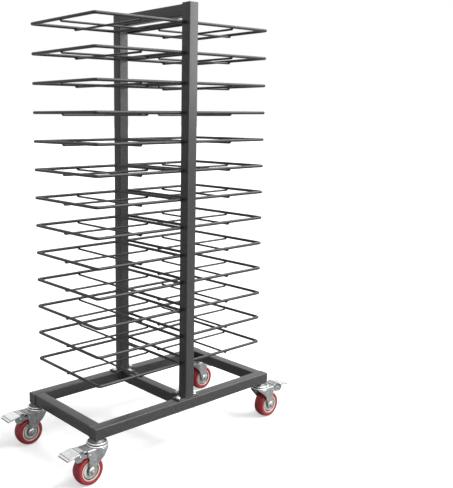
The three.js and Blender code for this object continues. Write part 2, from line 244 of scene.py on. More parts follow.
def weld(bm, start, end, radius=WELD):
    """Rippled bead along a line."""
    start, end = Vector(start), Vector(end)
    steps = max(6, round((end - start).length / WELD_RIPPLE) * 4)
    path = [start.lerp(end, i / steps) for i in range(steps + 1)]
    waves = [abs(math.sin(math.pi * i / 4)) for i in range(steps + 1)]
    radii = [radius * (1 - WELD_WAVE + WELD_WAVE * wave) for wave in waves]
    radii[0] = radii[-1] = radius * WELD_END
    sweep(bm, path, radii, sides=8)


def nugget(bm, centre, size):
    """Small rounded blob of weld metal."""
    made = bmesh.ops.create_icosphere(bm, subdivisions=2, radius=1)
    for vert in made["verts"]:
        vert.co = Vector(centre) + Vector(a * b for a, b in zip(vert.co, size))


def hexagon(bm, across, low, high, axis, centre):
    """Hexagonal head or nut with chamfered ends."""
    outer = across / math.sqrt(3)
    chamfer = outer * 0.16
    face = across * 0.48
    rings = []
    for height, limit in ((low, face), (low + chamfer, outer), (high - chamfer, outer), (high, face)):
        ring = []
        for k in range(24):
            turn = math.pi * k / 12
            wave = (turn + math.pi / 6) % (math.pi / 3) - math.pi / 6
            radius = min(limit, across / 2 / math.cos(wave))
            a, b = radius * math.cos(turn), radius * math.sin(turn)
            point = (a, b, height) if axis == "z" else (a, height, b)
            ring.append(Vector(centre) + Vector(point))
        rings.append(ring)
    loft(bm, rings)


def thread(low, high, radius, pitch=1.2 * MM, depth=0.6 * MM):
    """Profile of a threaded bar between two heights."""
    ridges = []
    turns = max(1, int((high - low) / pitch))
    for k in range(turns):
        start = low + (high - low) * k / turns
        ridges += [(radius - depth, start), (radius, start + pitch / 2)]
    return ridges + [(radius - depth, high)]


def made_mesh(name, bm, sharp=32):
    """Mesh of a finished shape, smooth except at edges sharper than an angle in degrees."""
    bmesh.ops.recalc_face_normals(bm, faces=bm.faces)
    mesh = bpy.data.meshes.new(name)
    bm.to_mesh(mesh)
    bm.free()
    mesh.shade_smooth()
    mesh.set_sharp_from_angle(angle=math.radians(sharp))
    return mesh


def painted(mesh, materials, pick):
    """Mesh with materials of its own. A number is picked among them for each face."""
    for material in materials:
        mesh.materials.append(material)
    for face in mesh.polygons:
        face.material_index = pick(face)
    return mesh


def piece(name, mesh, material, body, stands_for=(), matrix=None):
    """Puts a mesh in the scene, riding on a body and standing for the CAD nodes that it replaces.

    A mesh without materials of its own gets the given one.
    """
    if not mesh.materials:
        mesh.materials.append(material)
    obj = bpy.data.objects.new(name, mesh)
    scene.collection.objects.link(obj)
    if matrix is not None:
        obj.matrix_world = matrix
    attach(obj, body)
    if stands_for:
        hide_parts(*stands_for)


# Materials

def new_material(name, metallic=0.0, gloss=0.5):
    """Empty material with its main shader."""
    material = bpy.data.materials.new(name)
    material.use_nodes = True
    shader = material.node_tree.nodes["Principled BSDF"]
    shader.inputs["Metallic"].default_value = metallic
    shader.inputs["Specular IOR Level"].default_value = gloss
    return material, shader


def surface(material, shader, colour, value, smooth, rough):
    """Gives a shader its colour and a roughness that follows a value between two limits."""
    links = material.node_tree.links
    links.new(colour, shader.inputs["Base Color"])
    links.new(ranged(material, value, smooth, rough), shader.inputs["Roughness"])


def texture(material, kind, scale, detail=2.0, stretch=(1, 1, 1)):
    """A procedural texture in the object's own coordinates. Returns its value output."""
    nodes, links = material.node_tree.nodes, material.node_tree.links
    coordinates = nodes.new("ShaderNodeTexCoord")
    mapping = nodes.new("ShaderNodeMapping")
    mapping.inputs["Scale"].default_value = stretch
    links.new(coordinates.outputs["Object"], mapping.inputs["Vector"])
    made = nodes.new("ShaderNodeTex" + kind)
    made.inputs["Scale"].default_value = scale
    if kind == "Noise":
        made.inputs["Detail"].default_value = detail
    links.new(mapping.outputs["Vector"], made.inputs["Vector"])
    return made.outputs["Fac" if kind == "Noise" else "Color"]


def spread(material, value, stops):
    """Colour ramp over a value. Stops are (position, colour)."""
    ramp = material.node_tree.nodes.new("ShaderNodeValToRGB")
    elements = ramp.color_ramp.elements
    while len(elements) < len(stops):
        elements.new(0.5)
    for element, (position, colour) in zip(elements, stops):
        element.position = position
        element.color = (*colour, 1)
    material.node_tree.links.new(value, ramp.inputs["Fac"])
    return ramp.outputs["Color"]


def multiplied(material, first, second):
    """Product of two colours."""
    nodes, links = material.node_tree.nodes, material.node_tree.links
    mix = nodes.new("ShaderNodeMix")
    mix.data_type = "RGBA"
    mix.blend_type = "MULTIPLY"
    mix.inputs["Factor"].default_value = 1.0
    for socket, colour in (("A", first), ("B", second)):
        target = next(i for i in mix.inputs if i.name == socket and i.type == "RGBA")
        links.new(colour, target)
    return next(o for o in mix.outputs if o.type == "RGBA")


def ranged(material, value, low, high):
    """A 0 to 1 value stretched to a range."""
    node = material.node_tree.nodes.new("ShaderNodeMapRange")
    node.inputs["To Min"].default_value = low
    node.inputs["To Max"].default_value = high
    material.node_tree.links.new(value, node.inputs["Value"])
    return node.outputs["Result"]


def bump(material, shader, height, strength, distance):
    """Raises the surface a little where a value is high."""
    node = material.node_tree.nodes.new("ShaderNodeBump")
    node.inputs["Strength"].default_value = strength
    node.inputs["Distance"].default_value = distance
    links = material.node_tree.links
    links.new(height, node.inputs["Height"])
    links.new(node.outputs["Normal"], shader.inputs["Normal"])


def grey(value):
    """Colour with three equal parts."""
    return (value, value, value)


def charcoal_coat(name, tone, gloss):
    """Charcoal powder coat: fine orange peel with a light speckle."""
    material, shader = new_material(name, gloss=gloss)
    fine = texture(material, "Noise", 900, 3)
    grain = texture(material, "Noise", 230, 2)
    broad = texture(material, "Noise", 9, 3)
    tones = [(0.32, grey(tone * 0.75)), (0.5, grey(tone)), (0.7, grey(tone * 1.5))]
    speckle = spread(material, grain, tones)
    cloud = spread(material, broad, [(0.3, (0.9, 0.9, 0.91)), (0.7, grey(1.0))])
    surface(material, shader, multiplied(material, speckle, cloud), grain, 0.25, 0.4)
    bump(material, shader, fine, 0.3, 0.2 * MM)
    return material


def zinc_plate():
    """Dull zinc plate with a mottled spangle."""
    material, shader = new_material("zinc_plate", metallic=0.55)
    spangle = texture(material, "Voronoi", 260)
    cloud = texture(material, "Noise", 120, 4)
    tones = [(0.3, (0.26, 0.27, 0.264)), (0.5, (0.35, 0.36, 0.355)), (0.72, grey(0.47))]
    tone = spread(material, cloud, tones)
    flecks = spread(material, spangle, [(0.2, grey(0.86)), (0.8, grey(1.0))])
    surface(material, shader, multiplied(material, tone, flecks), cloud, 0.26, 0.46)
    bump(material, shader, cloud, 0.2, 0.3 * MM)
    return material


def bright_zinc():
    """Bright plated steel with faint drawing lines."""
    material, shader = new_material("bright_zinc", metallic=0.9)
    lines = texture(material, "Noise", 160, 3, stretch=(1, 9, 9))
    cloud = texture(material, "Noise", 60, 2)
    tone = spread(material, cloud, [(0.3, (0.82, 0.825, 0.83)), (0.7, grey(0.92))])
    surface(material, shader, tone, lines, 0.22, 0.36)
    bump(material, shader, lines, 0.03, 0.2 * MM)
    return material


def mottled(name, tones, scale, detail, roughness, relief=0.0, depth=0.0, grain=0, metallic=0.0, gloss=0.5):
    """Surface clouded between two tones. Its relief follows the clouds, or a finer grain if that is given."""
    material, shader = new_material(name, metallic, gloss)
    cloud = texture(material, "Noise", scale, detail)
    dark, light = tones
    surface(material, shader, spread(material, cloud, [(0.3, dark), (0.7, light)]), cloud, *roughness)
    if relief:
        height = texture(material, "Noise", grain, 2) if grain else cloud
        bump(material, shader, height, relief, depth)
    return material


COAT = charcoal_coat("charcoal_coat", 0.041, 0.48)
# The wires carry the frame's charcoal coat at a darker tone, as painted shade on the thin wires.
WIRE_SHADED_COAT = charcoal_coat("wire_coat_painted_shade", 0.012, 0.42)
ZINC = zinc_plate()
BRIGHT = bright_zinc()

# Red cast polyurethane with a satin skin
red_tones = (0.315, 0.027, 0.034), (0.425, 0.044, 0.053)
RED = mottled("red_tread", red_tones, 70, 4, (0.28, 0.46), 0.12, 0.15 * MM, grain=900, gloss=0.35)

# Pale moulded core with a slightly green cast
pale_tones = (0.7, 0.7, 0.63), (0.84, 0.83, 0.76)
PALE = mottled("pale_core", pale_tones, 90, 4, (0.38, 0.55), 0.15, 0.1 * MM, grain=1200)

# Dark steel as painted shade: the races apart from their rims, the rings in the gaps above the fork covers,
# and the pedals' valleys, tips and undersides
shade_steel_tones = (0.06, 0.065, 0.062), (0.13, 0.14, 0.135)
SHADE_STEEL = mottled("painted_shade_steel", shade_steel_tones, 200, 3, (0.35, 0.55), 0.1, 0.2 * MM, metallic=0.6)

# Grey-beige painted shade on the faces of the groove moulded into the wheel core
groove_shade_tones = (0.15, 0.14, 0.12), (0.25, 0.23, 0.2)
GROOVE_SHADE = mottled("core_groove_painted_shade", groove_shade_tones, 90, 4, (0.45, 0.65))

# Near-black painted shade inside the pedals' holes
hole_shade_tones = grey(0.004), grey(0.01)
HOLE_SHADE = mottled("hole_painted_shade", hole_shade_tones, 300, 3, (0.6, 0.85), 0.1, 0.1 * MM, gloss=0.15)

# Darker polished steel of the axles' washers and the brake shoes' rivets
steel_tones = (0.42, 0.425, 0.425), (0.56, 0.56, 0.555)
STEEL = mottled("plain_steel", steel_tones, 140, 3, (0.16, 0.28), 0.05, 0.2 * MM, metallic=1.0)


# Frame of square tubes

def coated(name, bm, stands_for=(), sharp=32):
    """Puts a finished shape in the scene as a coated piece of the frame."""
    piece(name, made_mesh(name, bm, sharp), COAT, "rack", stands_for)


def square_tube(bm, axis, low, high, centre):
    """Square tube with round corners. Its ends show the wall round a plate that is set in."""
    section = rounded([(-HALF, -HALF), (HALF, -HALF), (HALF, HALF), (-HALF, HALF)], TUBE_ROUND)
    levels = [(low + END_RECESS, TUBE_WALL), (low, TUBE_WALL), (low, END_SOFT), (low + END_SOFT, 0)]
    levels += [(high - END_SOFT, 0), (high, END_SOFT), (high, TUBE_WALL), (high - END_RECESS, TUBE_WALL)]
    rings = []
    for height, inset in levels:
        ring = []
        for p in offset(section, inset):
            point = {"x": (height, p.x, p.y), "y": (p.x, height, p.y), "z": (p.x, p.y, height)}[axis]
            ring.append(Vector(centre) + Vector(point))
        rings.append(ring)
    loft(bm, rings)


def base():
    """Two rails and three cross tubes with their welds. The rails' ends stand proud of the cross tubes."""
    middle = (base_low.z + base_high.z) / 2
    rail_inner = RAIL_Y - HALF
    end = base_high.x
    for name, side in (("front", -1), ("back", 1)):
        bm = bmesh.new()
        square_tube(bm, "x", -end, end, (0, side * RAIL_Y, middle))
        stands_for = ("base_frame",) if side < 0 else ()
        coated(f"rail_{name}", bm, stands_for)
    beads = bmesh.new()
    sunk = WELD - WELD_PROUD
    outer = end - HALF - CROSS_SET_BACK
    for name, x in (("left", -outer), ("middle", 0), ("right", outer)):
        bm = bmesh.new()
        square_tube(bm, "y", -rail_inner, rail_inner, (x, 0, middle))
        coated(f"cross_tube_{name}", bm)
        for side in (-1, 1):
            y = side * rail_inner
            for edge in (x - HALF, x + HALF):
                flush = abs(edge) > outer
                at = edge - math.copysign(sunk, edge) if flush else edge
                weld(beads, (at, y, base_low.z + WELD), (at, y, base_high.z - WELD))
            for z in (base_low.z + sunk, base_high.z - sunk):
                weld(beads, (x - HALF + WELD, y, z), (x + HALF - WELD, y, z))
    coated("base_welds", beads, sharp=60)


def posts():
    """Two posts on T-shaped feet and the beam between them."""
    foot_low = post_low.z
    foot_high = foot_low + FOOT_THICKNESS
    foot_half = post_high.x
    foot_inner = -post_high.y
    for name, side in (("front", -1), ("back", 1)):
        y = side * POST_Y
        bm = bmesh.new()
        square_tube(bm, "z", foot_high, post_high.z, (0, y, 0))
        coated(f"{name}_post_tube", bm, (f"{name}_post",))
        outer, inner = side * (POST_Y + HALF), side * (POST_Y - HALF)
        corners = [
            (-foot_half, outer), (foot_half, outer), (foot_half, inner), (HALF, inner),
            (HALF, side * foot_inner), (-HALF, side * foot_inner), (-HALF, inner), (-foot_half, inner),
        ]
        bm = bmesh.new()
        plate(bm, [rounded(corners, FOOT_ROUND)], foot_low, foot_high, FOOT_SOFT, lambda a, b, h: (a, b, h))
        for x in (-HALF, HALF):
            weld(bm, (x, outer * FOOT_WELD_SHARE, foot_high), (x, inner, foot_high))
        weld(bm, (-HALF, inner, foot_high), (HALF, inner, foot_high))
        coated(f"{name}_post_foot", bm, sharp=50)
    bm = bmesh.new()
    middle = (beam_low.z + beam_high.z) / 2
    square_tube(bm, "y", beam_low.y - SEAT_GAP, beam_high.y + SEAT_GAP, (0, 0, middle))
    coated("beam_tube", bm, ("top_beam",))
    bm = bmesh.new()
    for end in (beam_low.y - SEAT_GAP, beam_high.y + SEAT_GAP):
        for x in (-HALF, HALF):
            at = math.copysign(HALF - WELD + WELD_PROUD, x)
            weld(bm, (at, end, beam_low.z + WELD), (at, end, beam_high.z - WELD))
        weld(bm, (-HALF + WELD, end, beam_high.z), (HALF - WELD, end, beam_high.z))
        weld(bm, (-HALF + WELD, end, beam_low.z), (HALF - WELD, end, beam_low.z))
    coated("beam_welds", bm, sharp=60)


def foot_bolts():
    """Hexagon bolts with washers through the feet and nuts under the rails."""
    foot_high = post_low.z + FOOT_THICKNESS
    seat = foot_high + WASHER
    under = base_low.z - WASHER
    edge, soft = WASHER_RADIUS, WASHER_SOFT
    upper_washer = [(edge - 0.4 * MM, foot_high), (edge, foot_high + 0.4 * MM)]
    upper_washer += [(edge, seat - soft), (edge - soft, seat)]
    lower_washer = [(edge - soft, under), (edge, under + soft)]
    lower_washer += [(edge, base_low.z - 0.1 * MM), (1 * MM, base_low.z)]
    for post in ("front", "back"):
        for where in ("left", "right", "inner"):
            low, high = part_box(f"foot_bolt_{post}_{where}")
            centre = (low + high) / 2
            spot = (centre.x, centre.y, 0)
            bm = bmesh.new()
            hexagon(bm, BOLT_ACROSS, seat, foot_high + SEAT_GAP + BOLT_HEAD, "z", spot)
            lathe(bm, upper_washer, "z", spot, 32)
            lathe(bm, lower_washer, "z", spot, 32)
            hexagon(bm, BOLT_ACROSS, under - BOLT_NUT, under, "z", spot)
            lathe(bm, thread(low.z, under - BOLT_NUT / 2, BOLT_RADIUS), "z", spot, 20)
            name = f"bolt_{post}_{where}"
            piece(name, made_mesh(name, bm), BRIGHT, "rack", (f"foot_bolt_{post}_{where}",))


# Wire shelves

def shelf_mesh(side):
    """One shelf about its ring's plane: a closed ring, two cross wires that hang under it, and welds."""
    inner = shelf_low.x + RING_RADIUS
    outer = shelf_high.x - RING_RADIUS
    wide = shelf_high.y - RING_RADIUS
    middle = (inner + outer) / 2
    bm = bmesh.new()
    corners = [(side * inner, -wide), (side * outer, -wide), (side * outer, wide), (side * inner, wide)]
    ring = [Vector((p.x, p.y, 0)) for p in rounded(corners, RING_CORNER, 7)]
    sweep(bm, ring, RING_RADIUS, 16, closed=True)
    lengthwise = (side * inner, 0, 0), (side * outer, 0, 0)
    crosswise = (side * middle, -wide, 0), (side * middle, wide, 0)
    for start, end in (lengthwise, crosswise):
        a, b = Vector(start), Vector(end)
        sweep(bm, hung_wire(a, b), CROSS_RADIUS, 12)
        for spot in (a, b):
            nugget(bm, spot - Vector((0, 0, RING_RADIUS * 0.8)), NUGGET)
    nugget(bm, (side * middle, 0, -CROSS_DROP), CROSSING_NUGGET)
    x = side * HALF
    for end in (-1, 1):
        y = end * (POST_Y - SHELF_WELD_IN)
        for z in (SHELF_WELD_ASIDE, -SHELF_WELD_ASIDE):
            weld(bm, (x, y - SHELF_WELD_HALF, z), (x, y + SHELF_WELD_HALF, z), SHELF_WELD)
    return made_mesh("shelf_mesh", bm, 50)


def hung_wire(start, end, steps=6):
    """Path of a cross wire: down from the ring, along under it and up again."""
    along = (end - start).normalized()
    down = Vector((0, 0, -1))
    path = [start]
    for spot, way in ((start, along), (end, -along)):
        corner = spot + down * CROSS_DROP
        first, last = corner - down * CROSS_BEND, corner + way * CROSS_BEND
        bend = []
        for i in range(steps + 1):
            t = i / steps
            bend.append(first.lerp(corner, t).lerp(corner.lerp(last, t), t))
        path += bend if spot == start else bend[::-1]
    return path + [end]


def shelves():
    """All tiers on both sides of the posts."""
    meshes = {"left": shelf_mesh(-1), "right": shelf_mesh(1)}
    for tier in range(1, TIERS + 1):
        for side, mesh in meshes.items():
            node = f"shelf_{side}_{tier:02d}"
            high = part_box(node)[1].z
            matrix = Matrix.Translation((0, 0, high - RING_DEPTH))
            # The wires take the darker copy of the coat as painted shade.
            piece(f"wire_{node}", mesh, WIRE_SHADED_COAT, "rack", (node,), matrix)


# Casters, drawn once with the swivel axis at x = 0 and the wheel trailing towards +x

pattern = "caster_front_right_"
caster_foot = Vector((joint_place[pattern + "swivel"].x, joint_place[pattern + "swivel"].y, 0))
axle_place = joint_place[pattern + "roll"] - caster_foot
pivot_place = joint_place[pattern + "brake"] - caster_foot


def high_corner(name):
    """High corner of a caster node's box, from the foot of the swivel axis."""
    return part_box(pattern + name)[1] - caster_foot


race_high = high_corner("race")
fork_high = high_corner("fork")
core_high = high_corner("wheel_core")
tread_high = high_corner("wheel_tread")
bolt_high = high_corner("axle_bolt")
pedal_high = high_corner("brake_pedal")

# Sizes of the fork, the race and the wheel
WHEEL_RADIUS = axle_place.z
COVER_TOP = fork_high.z
WEB_TOP = COVER_TOP - 5.5 * MM
SHEET = 3.2 * MM
AXLE_HEAD = 7 * MM
LEG_OUTER = bolt_high.y - AXLE_HEAD - SEAT_GAP
EAR_FRONT = fork_high.x
RACE_RIM = 34 * MM
RACE_ROLL = 3.6 * MM
HUB_BORE = 17 * MM
GROOVE_INNER = 27.4 * MM
GROOVE_OUTER = 31 * MM
CORE_RADIUS = 35.6 * MM
END_RADIUS = 13.6 * MM
END_CENTRE = axle_place.x - 4 * MM
AXLE_DEPTH = WEB_TOP - axle_place.z
AXLE_WASHER = 9 * MM

# Edges of a fork leg as (x, depth under the web's top)
REAR_EDGE = curve([
    (-31.2 * MM, 3.5 * MM), (-23.5 * MM, 10 * MM), (-15.5 * MM, 16.5 * MM), (-8.6 * MM, 23.5 * MM),
    (-4.8 * MM, 27.5 * MM), (0.6 * MM, 33 * MM), (10.2 * MM, 46 * MM), (16.8 * MM, 54.5 * MM),
    (19.8 * MM, 64.7 * MM), (END_CENTRE - END_RADIUS, AXLE_DEPTH),
])
FRONT_EDGE = curve([
    (EAR_FRONT, 0), (EAR_FRONT, 18 * MM), (EAR_FRONT - 1.4 * MM, 22 * MM), (EAR_FRONT - 4 * MM, 25.5 * MM),
    (EAR_FRONT - 5 * MM, 29 * MM), (EAR_FRONT - 5.2 * MM, 41.5 * MM), (EAR_FRONT - 6.4 * MM, 56 * MM),
    (END_CENTRE + END_RADIUS, AXLE_DEPTH),
])

# Rear of the legs, widened to the cover's round
CROWN_RADIUS = fork_high.y - 0.2 * MM
FLARE = 24 * MM
FLARE_LOW = 58 * MM
FLARE_FULL = 100 * MM


def from_axle(face):
    """Distance of a face from the wheel's axle."""
    away = face.center - axle_place
    return math.hypot(away.x, away.z)


def race_mesh():
    """Dished race with a rolled rim, its stem above and the kingpin's head below the fork."""
    top = base_low.z - SEAT_GAP
    rim = top - 9 * MM
    bottom = rim - 2.6 * MM
    edge = RACE_RIM
    stem = profile([(0.2, 0), (5.2, 0), (6, -0.8)], race_high.z)
    dish = profile([(6, 0), (18, 0), (20, -0.3), (22, -1.4)], top)
    dish += profile([(27, 2.6), (29, 1), (30.6, 0.2)], rim)
    roll = [
        (edge - 2.2 * MM, rim + 0.4 * MM), (edge - 1.2 * MM, rim + 0.3 * MM),
        (edge - 0.3 * MM, rim - 0.3 * MM), (edge, rim - 1.2 * MM),
        (edge - 0.3 * MM, bottom + 0.4 * MM), (edge - 1.4 * MM, bottom),
        (edge - 2.6 * MM, bottom + 0.2 * MM), (edge - 3.4 * MM, bottom + 1.2 * MM),
    ]
    hub = [(14 * MM, bottom + 1.2 * MM), *profile([(14, 0), (0.2, 0)], COVER_TOP + SEAT_GAP)]
    bm = bmesh.new()
    lathe(bm, stem + dish + roll + hub, sides=72)
    under = WEB_TOP - 4 * MM - SEAT_GAP
    head = [(0.2, 0), (9.6, 0), (10, -0.5), (10, -2.2), (8.6, -3.8), (5, -4.3), (0.2, -4.3)]
    lathe(bm, profile(head, under), sides=40)
    mesh = made_mesh("race_mesh", bm, 40)
    # The race, its stem and the kingpin's head are one steel: the rolled rim takes the bright plate as a
    # painted highlight, the rest the dark steel as painted shade under the base and the fork's web.
    return painted(mesh, (SHADE_STEEL, BRIGHT), lambda face: int(face.center.xy.length > RACE_RIM - RACE_ROLL))


def gap_shade_mesh():
    """Dark ring that fills the gap between the race and the fork's cover, as painted shade in the gap."""
    low, high = COVER_TOP - 0.6 * MM, base_low.z - 11 * MM
    inner, outer = RACE_RIM - 7 * MM, RACE_RIM - 3 * MM
    bm = bmesh.new()
    lathe(bm, [(inner, low), (outer, low), (outer, high), (inner, high)], closed=True)
    return made_mesh("gap_shade_mesh", bm)


def level(edge, depth):
    """Where an edge is at a depth under the web's top."""
    for a, b in zip(edge, edge[1:]):
        if depth <= b.y:
            share = max(0, depth - a.y) / max(b.y - a.y, 0.001 * MM)
            return a.x + (b.x - a.x) * min(1, share)
    return edge[-1].x


def fork_limits(z):
    """Rear and front edge of a fork leg at a height."""
    under = axle_place.z - z
    if under > 0:
        half = math.sqrt(max(0, END_RADIUS ** 2 - under ** 2))
        return END_CENTRE - half, END_CENTRE + half
    return level(REAR_EDGE, WEB_TOP - z), level(FRONT_EDGE, WEB_TOP - z)


def leg_side(x, z):
    """Distance of a leg's outside from the middle: straight in front, round under the cover at the rear."""
    wide = LEG_OUTER
    if x < 0:
        wide = math.sqrt(CROWN_RADIUS ** 2 - x ** 2)
    elif x < FLARE:
        wide += (CROWN_RADIUS - LEG_OUTER) * (1 + math.cos(math.pi * x / FLARE)) / 2
    share = min(1, max(0, (z - FLARE_LOW) / (FLARE_FULL - FLARE_LOW)))
    return LEG_OUTER + (wide - LEG_OUTER) * share


def fork_mesh():
    """Pressed fork: one sheet bent over the wheel, its legs round under the cover at the rear."""
    bend = 4.5 * MM
    columns = 30
    crowding = 1.4
    step = 0.1 * MM
    axle_end = axle_place.z - END_RADIUS
    straight = WEB_TOP - bend - axle_place.z
    # Each row is the height that sets the sheet's edges and its turn in the bend between leg and web
    rows = [(axle_end + 0.02 * MM, 0)]
    rows += [(axle_end + END_RADIUS * (1 - math.cos(math.pi / 2 * k / 8)), 0) for k in range(1, 9)]
    rows += [(axle_place.z + straight * k / 22, 0) for k in range(1, 23)]
    rows += [(WEB_TOP - bend, math.pi / 2 * k / 6) for k in range(1, 7)]
    rings = []
    for side, (height, turn) in [(1, row) for row in rows] + [(-1, row) for row in reversed(rows)]:
        rear, front = fork_limits(height)
        outside, inside = [], []
        for k in range(columns + 1):
            x = rear + (front - rear) * (k / columns) ** crowding
            slope = (leg_side(x + step, height) - leg_side(x - step, height)) / (2 * step)
            flank = Vector((-slope, 1, 0)).normalized()
            out = flank * math.cos(turn) + Vector((0, 0, math.sin(turn)))
            place = Vector((x, leg_side(x, height), height)) + (out - flank) * bend
            for row, point in ((outside, place), (inside, place - out * SHEET)):
                row.append(Vector((point.x, side * point.y, point.z)))
        # A closed loop round the sheet's section, lofted along the bent sheet
        rings.append(outside + inside[::-1])
    bm = bmesh.new()
    loft(bm, rings)
    return made_mesh("fork_mesh", bm, 40)


def cover_mesh():
    """Rolled cover under the race, pressed onto the fork's web."""
    upper = [(0.2, -1.2), (29, -1.2), (33.5, -0.5), (35, 0), (36.2, -0.3), (36.9, -1.1), (37, -2.2)]
    upper += [(36.6, -3.4), (35.4, -4.4)]
    lower = [(33.6, 0.3), (31.5, -1), (0.2, -1)]
    bm = bmesh.new()
    lathe(bm, profile(upper, COVER_TOP) + profile(lower, WEB_TOP), sides=72)
    return made_mesh("cover_mesh", bm, 40)


def core_mesh():
    """Wheel core: a rim edge, a deep groove and a raised ring round the bearing, alike on both faces."""
    half = [
        (HUB_BORE, 9 * MM), (HUB_BORE + 0.3 * MM, 17.2 * MM), (HUB_BORE + 1.2 * MM, 18.2 * MM),
        (26.6 * MM, 18.2 * MM), (GROOVE_INNER, 17.2 * MM), (GROOVE_INNER + 0.6 * MM, 10 * MM),
        (GROOVE_OUTER - 0.5 * MM, 10 * MM), (GROOVE_OUTER, 18.6 * MM), (GROOVE_OUTER + 0.6 * MM, 19.9 * MM),
        (34.4 * MM, 20.3 * MM), (CORE_RADIUS, 19.6 * MM),
    ]
    bm = bmesh.new()
    lathe(bm, both_faces(half), "y", axle_place, 72, closed=True)
    mesh = made_mesh("core_mesh", bm, 40)
    # The groove's faces take the grey-beige painted shade; the rest of the moulding is the pale core.
    return painted(mesh, (PALE, GROOVE_SHADE), lambda face: int(GROOVE_INNER < from_axle(face) < GROOVE_OUTER))


def bearing_mesh():
    """Bearing in the core: a sleeve on the axle, a sunken shield and an outer ring, alike on both faces."""
    hub = core_high.y
    half = [
        (5.4 * MM, hub), (8.6 * MM, hub), (9.2 * MM, hub - 0.6 * MM),
        (9.6 * MM, 15.6 * MM), (14.4 * MM, 15.2 * MM), (14.8 * MM, 16.2 * MM),
        (HUB_BORE - 0.5 * MM, 16.2 * MM), (HUB_BORE - 0.1 * MM, 15.6 * MM), (HUB_BORE - 0.1 * MM, 8 * MM),
    ]
    bm = bmesh.new()
    lathe(bm, both_faces(half), "y", axle_place, 56, closed=True)
    return made_mesh("bearing_mesh", bm, 30)


def tread_mesh():
    """Red tread: crowned running face, round shoulders, slightly dished sides."""
    face = tread_high.y
    inner = CORE_RADIUS - 0.2 * MM
    drop = 3.2 * MM
    shoulder = face - 4.4 * MM
    shoulder_round = 5.8 * MM
    half = [(WHEEL_RADIUS - drop * abs(k / 10) ** 2.2, shoulder * k / 10) for k in range(11)]
    edge = WHEEL_RADIUS - drop
    for k in range(1, 7):
        turn = math.pi / 2 * k / 6
        radius = edge - shoulder_round * (1 - math.cos(turn))
        half.append((radius, shoulder + (face - shoulder) * math.sin(turn)))
    half += [(41.4 * MM, face - 0.1 * MM), (37.4 * MM, face - 0.2 * MM)]
    half += [(36.5 * MM, face - 0.5 * MM), (inner, face - 1.6 * MM)]
    bm = bmesh.new()
    lathe(bm, [(r, -y) for r, y in reversed(half[1:])] + half, "y", axle_place, 96, closed=True)
    return made_mesh("tread_mesh", bm, 40)


def axle_mesh():
    """Axle bolt: a domed washer and a hexagon nut outside each fork leg."""
    end = bolt_high.y
    seat = LEG_OUTER + 3.4 * MM
    shank = 5 * MM
    across = 15 * MM
    washer = [(14.8, 0), (15, 0.5), (14.5, 1.5), (12.8, 2.8), (10.4, 3.5), (8.4, 3.7)]
    dome = [(6.4, -1.2), (5.8, -0.6), (5, -0.5), (4.6, -0.3), (3.8, 0)]
    bm = bmesh.new()
    for side in (-1, 1):
        low, high = sorted((side * seat, side * (end - 1 * MM)))
        hexagon(bm, across, low, high, "y", axle_place)
        lathe(bm, profile(washer, LEG_OUTER, side), "y", axle_place, 48)
        lathe(bm, profile(dome, end, side), "y", axle_place, 32)
    lathe(bm, [(shank, -seat), (shank, seat)], "y", axle_place, 24)
    mesh = made_mesh("axle_mesh", bm)
    return painted(mesh, (ZINC, STEEL), lambda face: int(from_axle(face) > AXLE_WASHER))


# Sizes of the pedal, along x from its start or back from its tip
PEDAL_START = EAR_FRONT + 4 * MM
PEDAL_TIP = pedal_high.x - 2 * MM
PEDAL_HALF = pedal_high.y
PEDAL_TOP = pedal_high.z
PEDAL_BEND = PEDAL_START + 36 * MM
PEDAL_BEND_REACH = 7 * MM
PEDAL_FALL = 8 * MM
PEDAL_CORNER = 7 * MM
PEDAL_SHEET = 2.2 * MM
PAD_START = 22.5 * MM
PAD_BLEND = 5 * MM
TIP_ROLL = 5 * MM
# Length at the pedal's tip that takes the dark steel as painted shade
TIP_SHADE = 0.5 * MM
# Shares of the pedal's half width
SIDE_ROLL = 0.08
RIDGE_END = 0.72
RIDGE_FADE = 0.14
SIDE_ROLL_DROP = 2.4 * MM
RIDGES = (12 * MM, 20 * MM, 28.6 * MM)
RIDGE_HALF = 2.5 * MM
RIDGE_HEIGHT = 2.4 * MM
GROOVE_BACK = 8.5 * MM
GROOVE_HALF = 3.2 * MM
GROOVE_DEPTH = 2.3 * MM
PEDAL_HOLE = Vector((PEDAL_START + 2.4 * MM, pivot_place.z + 10.9 * MM))
PEDAL_HOLE_RADIUS = 4.8 * MM
SHOE_RIVET = Vector((PEDAL_START + 24 * MM, 0, pivot_place.z + 4 * MM))
SKIRT_OUTER = LEG_OUTER - SHEET - 0.6 * MM


def pedal_half(x):
    """Half width of the pedal: a neck, a wider pad and round corners at the tip."""
    neck = SKIRT_OUTER + 0.6 * MM
    t = min(1, max(0, (x - PEDAL_START - PAD_START) / PAD_BLEND))
    half = neck + (PEDAL_HALF - neck) * (3 * t ** 2 - 2 * t ** 3)
    past = max(0, x - (PEDAL_TIP - PEDAL_CORNER))
    return half - PEDAL_CORNER + math.sqrt(max(0, PEDAL_CORNER ** 2 - past ** 2))


